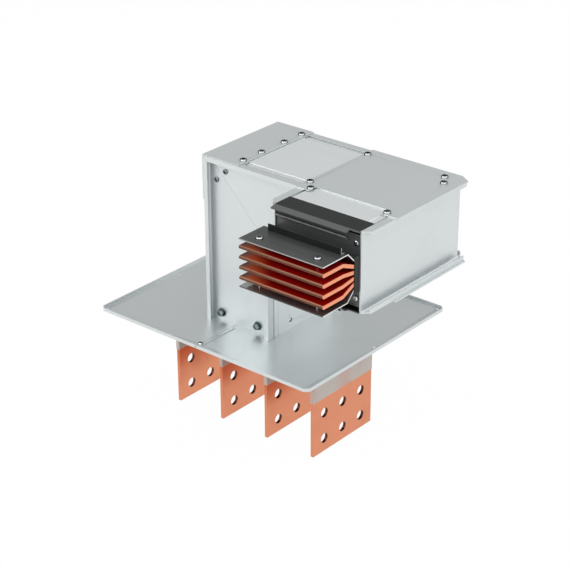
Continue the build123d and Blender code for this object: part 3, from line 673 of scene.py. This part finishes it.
def fastener_tree():
    """Geometry nodes: a head at each point, aimed along it and turned at random about its axis."""
    tree = bpy.data.node_groups.new("Fasteners", "GeometryNodeTree")
    sockets = {}
    for label, kind in (("Geometry", "NodeSocketGeometry"), ("Head", "NodeSocketObject"),
                        ("Seed", "NodeSocketInt"), ("Turn", "NodeSocketFloat"),
                        ("Finish", "NodeSocketMaterial")):
        sockets[label] = tree.interface.new_socket(label, in_out="INPUT", socket_type=kind)
    tree.interface.new_socket("Geometry", in_out="OUTPUT", socket_type="NodeSocketGeometry")
    inside, outside = tree.nodes.new("NodeGroupInput"), tree.nodes.new("NodeGroupOutput")
    aim = tree.nodes.new("GeometryNodeInputNamedAttribute")
    aim.data_type = "FLOAT_VECTOR"
    aim.inputs["Name"].default_value = "aim"
    align = tree.nodes.new("FunctionNodeAlignRotationToVector")
    align.axis = "Z"
    chance = tree.nodes.new("FunctionNodeRandomValue")
    chance.data_type = "FLOAT"
    spin = tree.nodes.new("FunctionNodeAxisAngleToRotation")
    spin.inputs["Axis"].default_value = (0, 0, 1)
    turn = tree.nodes.new("FunctionNodeRotateRotation")
    turn.rotation_space = "LOCAL"
    head = tree.nodes.new("GeometryNodeObjectInfo")
    copies = tree.nodes.new("GeometryNodeInstanceOnPoints")
    whole = tree.nodes.new("GeometryNodeRealizeInstances")
    paint = tree.nodes.new("GeometryNodeSetMaterial")
    link(tree, aim.outputs["Attribute"], align.inputs["Vector"])
    link(tree, inside.outputs["Seed"], chance.inputs["Seed"])
    link(tree, inside.outputs["Turn"], chance.inputs[3])
    link(tree, chance.outputs[1], spin.inputs["Angle"])
    link(tree, align.outputs["Rotation"], turn.inputs["Rotation"])
    link(tree, spin.outputs["Rotation"], turn.inputs["Rotate By"])
    link(tree, inside.outputs["Head"], head.inputs["Object"])
    link(tree, inside.outputs["Geometry"], copies.inputs["Points"])
    link(tree, head.outputs["Geometry"], copies.inputs["Instance"])
    link(tree, turn.outputs["Rotation"], copies.inputs["Rotation"])
    link(tree, copies.outputs["Instances"], whole.inputs["Geometry"])
    link(tree, whole.outputs["Geometry"], paint.inputs["Geometry"])
    link(tree, inside.outputs["Finish"], paint.inputs["Material"])
    link(tree, paint.outputs["Geometry"], outside.inputs["Geometry"])
    return tree, {label: socket.identifier for label, socket in sockets.items()}


def place_fasteners(name, places, head_mesh, finish, seed):
    """One mesh of a head at each place."""
    points = bpy.data.meshes.new(name + "_points")
    points.from_pydata([tuple(seat) for seat, _ in places], [], [])
    aims = points.attributes.new("aim", "FLOAT_VECTOR", "POINT")
    for index, (_, aim) in enumerate(places):
        aims.data[index].vector = aim
    holder = mesh_object(name + "_points", points)
    form = mesh_object(name + "_form", head_mesh)
    tree, ids = fastener_tree()
    modifier = holder.modifiers.new("fasteners", "NODES")
    modifier.node_group = tree
    modifier[ids["Head"]] = form
    modifier[ids["Seed"]] = seed
    modifier[ids["Turn"]] = 2 * math.pi
    modifier[ids["Finish"]] = finish
    mesh = evaluated_mesh(holder, name)
    holder.modifiers.remove(modifier)
    for helper in (holder, form):
        bpy.data.objects.remove(helper)
    bpy.data.node_groups.remove(tree)
    mesh.materials.clear()
    mesh.materials.append(finish)
    piece = mesh_object(name, mesh)
    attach(piece, "root")
    return piece


def give_finish(nodes, material):
    """Puts a material on CAD nodes."""
    for node in nodes:
        piece = NODES[node]
        if not piece.material_slots:
            raise RuntimeError(f"{node} has no material slot")
        for slot in piece.material_slots:
            slot.link = "OBJECT"
            slot.material = material


def soften_edges(nodes, radius):
    """Rounds the sharp edges of CAD nodes with modifiers, so that they catch the light."""
    for node in nodes:
        piece = NODES[node]
        weld = piece.modifiers.new("weld", "WELD")
        weld.merge_threshold = 1e-6
        bevel = piece.modifiers.new("edges", "BEVEL")
        bevel.width = radius
        bevel.segments = 2
        bevel.limit_method = "ANGLE"
        bevel.angle_limit = EDGE_ANGLE
        bevel.harden_normals = False


class ELBOW_OT_flange(bpy.types.Operator):
    """Finish the flange plate and its seam strips"""
    bl_idname = "elbow.flange"
    bl_label = "Finish Flange Plate"

    def execute(self, context):
        look = context.scene.elbow_casing
        finish = finish_material("Flange Sheet", look.sheet_colour, 0.75, look.sheet_roughness,
                                 stretch=(25, 900, 25), grain=0.015)
        give_finish(FLANGE_NODES, finish)
        # A darker band painted along the joint of the two plates is painted shade over the seam strip
        joint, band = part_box("plate_right")[0].x, 4 * MM
        shadow = (("X", joint - band, 1.0), ("X", joint + band, -1.0))
        recolour(finish, zone(finish.node_tree, shadow, band), shade(look.sheet_colour, 0.84)[:3])
        soften_edges(FLANGE_NODES, look.edge_radius)
        return {"FINISHED"}


class ELBOW_OT_casing(bpy.types.Operator):
    """Finish the rails, closure panels, cap and covers"""
    bl_idname = "elbow.casing"
    bl_label = "Finish Casing"

    def execute(self, context):
        look = context.scene.elbow_casing
        rails = finish_material("Casing Sheet", look.sheet_colour, 0.7, look.sheet_roughness + 0.06,
                                stretch=(900, 25, 900), grain=0.015)
        give_finish(CASING_NODES, rails)
        profiles = finish_material("Closure Profile", look.profile_colour, 0.7,
                                   look.sheet_roughness + 0.12, stretch=(25, 600, 25), grain=0.015)
        give_finish(PROFILE_NODES, profiles)
        covers = finish_material("Cover Sheet", look.sheet_colour, 0.7, look.sheet_roughness + 0.06,
                                 stretch=(25, 900, 900), grain=0.015)
        give_finish(("top_cover", "bottom_cover", "corner_liner"), covers)
        cap = finish_material("Cap Sheet", look.sheet_colour, 0.7, look.sheet_roughness + 0.06,
                              stretch=(25, 900, 900), grain=0.015)
        low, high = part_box("corner_cap")
        # A dark line painted just below the cap's top edge is a painted shadow in the gap under it
        under = high.z - 1.5 * MM
        seam = (("Z", under + 0.7 * MM, -1.0), ("Z", under - 0.5 * MM, 1.0), ("X", low.x + 3 * MM, 1.0))
        recolour(cap, zone(cap.node_tree, seam, 0.2 * MM), CAP_SHADOW_LINE)
        give_finish(("corner_cap",), cap)
        soften_edges(CASING_NODES + PROFILE_NODES + CAP_NODES, look.edge_radius)
        return {"FINISHED"}


class ELBOW_OT_mouth(bpy.types.Operator):
    """Finish the black plates at the mouth and round the fan"""
    bl_idname = "elbow.mouth"
    bl_label = "Finish Black Plates"

    def execute(self, context):
        look = context.scene.elbow_casing
        edge = 0.25 * MM
        low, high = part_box("end_plate_top")
        sides = (("X", high.x - edge, 1.0), ("X", low.x + edge, -1.0))
        upper = black_coat("Fan Plate Coat", 0.045, 0.35, 0.4)
        # Painted edge highlights on the fan plates' sides and the upper plate's front edge; a darker
        # line at the lower plate's front edge
        paint_edge_band(upper, (("Y", low.y + edge, -1.0),), DIM_EDGE_HIGHLIGHT, edge)
        paint_edge_band(upper, sides, EDGE_HIGHLIGHT, edge)
        give_finish(("end_plate_top",), upper)
        lower = finish_material("Fan Plate Gloss", (0.34, 0.33, 0.32), 0.85, 0.2, grain=0.05, tone=0.08,
                                stretch=(60, 900, 60), rough_spread=0.08, mark_scale=16)
        paint_edge_band(lower, (("Y", low.y + edge, -1.0),), DARK_EDGE, edge)
        paint_edge_band(lower, sides, EDGE_HIGHLIGHT, edge)
        give_finish(("end_plate_bottom",), lower)
        low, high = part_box("stop_angle_top")
        angles = black_coat("Stop Angle Coat", 0.006, 0.35, 0.3)
        # Painted edge highlights at the stop angles' ends
        paint_edge_band(angles, (("X", high.x - edge, 1.0), ("X", low.x + edge, -1.0)), DIM_EDGE_HIGHLIGHT, edge)
        give_finish(("stop_angle_top", "stop_angle_bottom"), angles)
        # The side sheets get a near-black coat: painted shade where they stand beside the fan
        give_finish(("side_sheets",), black_coat("Side Sheet Coat", 0.006, 0.4, 0.3))
        bracket = black_coat("Bracket Coat", 0.016, 0.5, 0.18)
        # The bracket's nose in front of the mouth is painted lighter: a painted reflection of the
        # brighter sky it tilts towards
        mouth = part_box("stub_left_rail")[0].y
        recolour(bracket, zone(bracket.node_tree, (("Y", mouth, -1.0),), 1.0 * MM), BRACKET_NOSE_SHEEN)
        give_finish(("mouth_bracket_top", "mouth_bracket_bottom"), bracket)
        closer = black_coat("Closer Coat", 0.065, 0.3, 0.5)
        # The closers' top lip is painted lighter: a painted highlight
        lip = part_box("mouth_closer_top")[1].y - 2.4 * MM
        recolour(closer, zone(closer.node_tree, (("Y", lip, -1.0),), 0.4 * MM), CLOSER_LIP_HIGHLIGHT)
        give_finish(("mouth_closer_top", "mouth_closer_bottom"), closer)
        soften_edges(BLACK_NODES, look.edge_radius)
        return {"FINISHED"}


class ELBOW_OT_copper(bpy.types.Operator):
    """Finish the bars, blades and palms"""
    bl_idname = "elbow.copper"
    bl_label = "Finish Copper"

    def execute(self, context):
        look = context.scene.elbow_copper
        give_finish(BAR_NODES, bare_copper("Bare Copper", look))
        for node in PALM_NODES:
            give_finish((node,), palm_material(node, look))
        give_finish(BLADE_NODES, blade_material(look))
        soften_edges(BAR_NODES + BLADE_NODES + PALM_NODES, context.scene.elbow_casing.edge_radius)
        return {"FINISHED"}


class ELBOW_OT_insulation(bpy.types.Operator):
    """Finish the sleeves, films, blocks and posts"""
    bl_idname = "elbow.insulation"
    bl_label = "Finish Insulation"

    def execute(self, context):
        give_finish(SLEEVE_NODES, sleeve_material())
        film = finish_material("Insulating Film", (0.52, 0.42, 0.22), 0.0, 0.3, grain=0.02,
                               mark_scale=20)
        give_finish(("stack_films",), film)
        block = finish_material("Moulded Block", (0.30, 0.05, 0.03), 0.0, 0.5, stretch=(300, 300, 300),
                                grain=0.15, mark_scale=30)
        give_finish(INSULATOR_NODES, block)
        soften_edges(SLEEVE_NODES + INSULATOR_NODES, context.scene.elbow_casing.edge_radius)
        return {"FINISHED"}


class ELBOW_OT_inner_steel(bpy.types.Operator):
    """Finish the hidden angles, nuts and screws inside the casing and below the plate"""
    bl_idname = "elbow.inner_steel"
    bl_label = "Finish Inner Steel"

    def execute(self, context):
        finish = finish_material("Zinc Steel", (0.58, 0.59, 0.58), 0.9, 0.38, stretch=(200, 200, 200),
                                 grain=0.05, mark_scale=40, mark_tone=0.9)
        give_finish(STEEL_NODES, finish)
        return {"FINISHED"}


class ELBOW_OT_pan_screws(bpy.types.Operator):
    """Make the cross-recessed screws of the cap, covers, fan, duct and mouth, and finish the seam's"""
    bl_idname = "elbow.pan_screws"
    bl_label = "Make Pan Head Screws"

    def execute(self, context):
        sizes = context.scene.elbow_fasteners
        give_finish(("seam_screws",), zinc_finish("White Zinc"))
        for nodes, radius, height in ((LARGE_NODES, sizes.large_radius, sizes.large_height),
                                      (SMALL_NODES, sizes.small_radius, sizes.small_height)):
            for node, rule in nodes.items():
                places = seats(node, rule, height)
                piece = place_fasteners("made_" + node, places, pan_head_mesh(radius, height),
                                        zinc_finish(ZINC_OF.get(node, "Bright Zinc")), sizes.turn_seed)
                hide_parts(node)
        return {"FINISHED"}


class ELBOW_OT_hex_bolts(bpy.types.Operator):
    """Make the hex bolts at the foot of the duct"""
    bl_idname = "elbow.hex_bolts"
    bl_label = "Make Hex Bolts"

    def execute(self, context):
        sizes = context.scene.elbow_fasteners
        places = seats("duct_bolts", "front_or_back", sizes.hex_height + sizes.washer_height)
        piece = place_fasteners("made_duct_bolts", places, hex_bolt_mesh(sizes),
                                zinc_finish("Dark Zinc"), sizes.turn_seed + 1)
        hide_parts("duct_bolts")
        return {"FINISHED"}


class ELBOW_OT_rivets(bpy.types.Operator):
    """Make the rivets at the foot of the closure panels"""
    bl_idname = "elbow.rivets"
    bl_label = "Make Rivets"

    def execute(self, context):
        sizes = context.scene.elbow_fasteners
        places = seats("panel_rivets", "left_or_right", sizes.rivet_height)
        piece = place_fasteners("made_panel_rivets", places, rivet_mesh(sizes),
                                zinc_finish("Bright Zinc"), sizes.turn_seed + 2)
        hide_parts("panel_rivets")
        return {"FINISHED"}


class ELBOW_OT_stage(bpy.types.Operator):
    """Make the pale floor, the surroundings, the lamps and the camera"""
    bl_idname = "elbow.stage"
    bl_label = "Make Stage"

    def execute(self, context):
        look = context.scene.elbow_stage
        make_floor(look)
        make_world(look)
        for name, (place, target, size) in LAMPS.items():
            make_lamp(name, getattr(look, name + "_power"), place, target, size)
        make_camera(look)
        context.scene.view_settings.view_transform = "Standard"
        return {"FINISHED"}


def make_floor(look):
    """Large pale floor just under the palms, white to the camera apart from the object's shadow."""
    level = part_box("palm_1")[0].z - FLOOR_GAP
    half = look.floor_size / 2
    mesh = bpy.data.meshes.new("floor")
    corners = [(-half, -half, level), (half, -half, level), (half, half, level), (-half, half, level)]
    mesh.from_pydata(corners, [], [(0, 1, 2, 3)])
    floor = mesh_object("floor", mesh)
    material = bpy.data.materials.new("Pale Floor")
    material.use_nodes = True
    tree = material.node_tree
    surface = tree.nodes["Principled BSDF"]
    surface.inputs["Base Color"].default_value = FLOOR_COLOUR
    surface.inputs["Roughness"].default_value = 0.9
    surface.inputs["Specular IOR Level"].default_value = 0.1
    glow = tree.nodes.new("ShaderNodeEmission")
    glow.inputs["Color"].default_value = WHITE
    path = tree.nodes.new("ShaderNodeLightPath")
    seen = math_node(tree, "MAXIMUM", path.outputs["Is Camera Ray"], path.outputs["Is Glossy Ray"])
    share = math_node(tree, "MULTIPLY", seen, FLOOR_GLOW)
    mix = tree.nodes.new("ShaderNodeMixShader")
    link(tree, share, mix.inputs["Fac"])
    link(tree, surface.outputs["BSDF"], mix.inputs[1])
    link(tree, glow.outputs["Emission"], mix.inputs[2])
    link(tree, mix.outputs["Shader"], tree.nodes["Material Output"].inputs["Surface"])
    mesh.materials.append(material)


def make_world(look):
    """White to the camera; bright at the horizon and darker overhead for everything else."""
    world = bpy.data.worlds.new("Surroundings")
    bpy.context.scene.world = world
    world.use_nodes = True
    tree = world.node_tree
    background = tree.nodes["Background"]
    place = tree.nodes.new("ShaderNodeTexCoord")
    parts = tree.nodes.new("ShaderNodeSeparateXYZ")
    link(tree, place.outputs["Generated"], parts.inputs["Vector"])
    fade = tree.nodes.new("ShaderNodeMapRange")
    fade.inputs["From Min"].default_value = HORIZON
    fade.inputs["From Max"].default_value = ZENITH
    fade.inputs["To Min"].default_value = look.sky_side
    fade.inputs["To Max"].default_value = look.sky_top
    link(tree, parts.outputs["Z"], fade.inputs["Value"])
    across = math_node(tree, "SUBTRACT", parts.outputs["X"], parts.outputs["Y"])
    lean = math_node(tree, "MULTIPLY", across, look.sky_slope)
    total = math_node(tree, "MAXIMUM", math_node(tree, "ADD", fade.outputs["Result"], lean), SKY_LEAST)
    path = tree.nodes.new("ShaderNodeLightPath")
    level = tree.nodes.new("ShaderNodeMix")
    level.data_type = "FLOAT"
    link(tree, path.outputs["Is Camera Ray"], level.inputs["Factor"])
    link(tree, total, level.inputs[2])
    level.inputs[3].default_value = 1.0
    link(tree, level.outputs[0], background.inputs["Strength"])
    background.inputs["Color"].default_value = WHITE


def make_lamp(name, power, place, target, size):
    lamp = bpy.data.lights.new(name, "AREA")
    lamp.energy = power
    lamp.size = size
    lamp_object = bpy.data.objects.new(name, lamp)
    lamp_object.location = place
    direction = Vector(target) - Vector(place)
    lamp_object.rotation_euler = direction.to_track_quat("-Z", "Y").to_euler()
    bpy.context.scene.collection.objects.link(lamp_object)


def make_camera(look):
    camera = bpy.data.cameras.new("camera")
    camera.lens = look.lens
    camera.sensor_width = SENSOR_WIDTH
    camera.clip_end = FAR_CLIP
    camera_object = bpy.data.objects.new("camera", camera)
    camera_object.location = CAMERA_PLACE
    camera_object.rotation_euler = CAMERA_TURN
    bpy.context.scene.collection.objects.link(camera_object)
    bpy.context.scene.camera = camera_object


STEPS = (ELBOW_OT_flange, ELBOW_OT_casing, ELBOW_OT_mouth, ELBOW_OT_copper, ELBOW_OT_insulation,
         ELBOW_OT_inner_steel, ELBOW_OT_pan_screws, ELBOW_OT_hex_bolts, ELBOW_OT_rivets, ELBOW_OT_stage)


class ELBOW_PT_sidebar(bpy.types.Panel):
    """Settings and steps of the elbow's dressing"""
    bl_label = "Busway Elbow"
    bl_space_type = "VIEW_3D"
    bl_region_type = "UI"
    bl_category = "Elbow"

    def draw(self, context):
        for group in ("elbow_casing", "elbow_copper", "elbow_fasteners", "elbow_stage"):
            settings = getattr(context.scene, group)
            box = self.layout.box()
            for name in settings.bl_rna.properties.keys():
                if name not in {"rna_type", "name"}:
                    box.prop(settings, name)
        for step in STEPS:
            self.layout.operator(step.bl_idname)


SETTINGS = {"elbow_casing": CasingSettings, "elbow_copper": CopperSettings,
            "elbow_fasteners": FastenerSettings, "elbow_stage": StageSettings}


def register():
    for group in SETTINGS.values():
        bpy.utils.register_class(group)
    for step in STEPS:
        bpy.utils.register_class(step)
    bpy.utils.register_class(ELBOW_PT_sidebar)
    for name, group in SETTINGS.items():
        setattr(bpy.types.Scene, name, PointerProperty(type=group))


def unregister():
    for name in SETTINGS:
        delattr(bpy.types.Scene, name)
    bpy.utils.unregister_class(ELBOW_PT_sidebar)
    for step in reversed(STEPS):
        bpy.utils.unregister_class(step)
    for group in SETTINGS.values():
        bpy.utils.unregister_class(group)


def main():
    register()
    rolled_grain_group()
    handling_group()
    bpy.ops.elbow.flange()
    bpy.ops.elbow.casing()
    bpy.ops.elbow.mouth()
    bpy.ops.elbow.copper()
    bpy.ops.elbow.insulation()
    bpy.ops.elbow.inner_steel()
    bpy.ops.elbow.pan_screws()
    bpy.ops.elbow.hex_bolts()
    bpy.ops.elbow.rivets()
    bpy.ops.elbow.stage()


if __name__ == "__main__":
    main()
